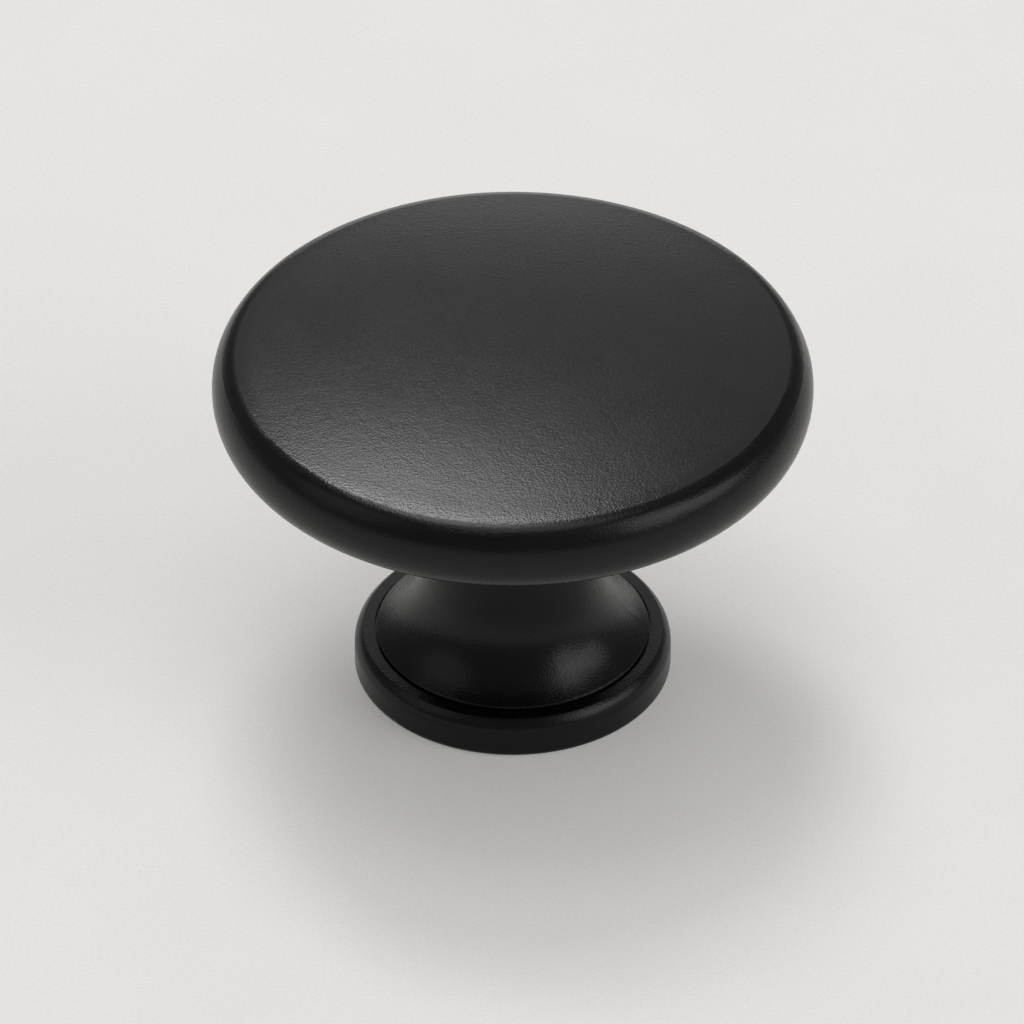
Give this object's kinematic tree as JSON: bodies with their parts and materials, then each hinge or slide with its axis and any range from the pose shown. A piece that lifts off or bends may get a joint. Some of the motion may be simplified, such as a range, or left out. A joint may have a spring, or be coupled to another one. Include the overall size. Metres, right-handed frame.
{
  "type": "cabinet knob",
  "caption": "Round mushroom knob with a wide slightly domed cap on a waisted neck, a stepped round base and a tapped screw hole in its back.",
  "frame": {"origin": "centre of the base's flat back face, where it sits against the door or drawer front", "axes": "+Z along the knob's axis, from the back face out to the crown of the cap; +X and +Y lie in the back face"},
  "size_m": [0.032, 0.032, 0.0216],
  "materials": {
    "black_powder_coat": "matte black powder coat with a fine sandy grain"
  },
  "bodies": {
    "root": {"knob": "black_powder_coat"}
  },
  "joints": []
}
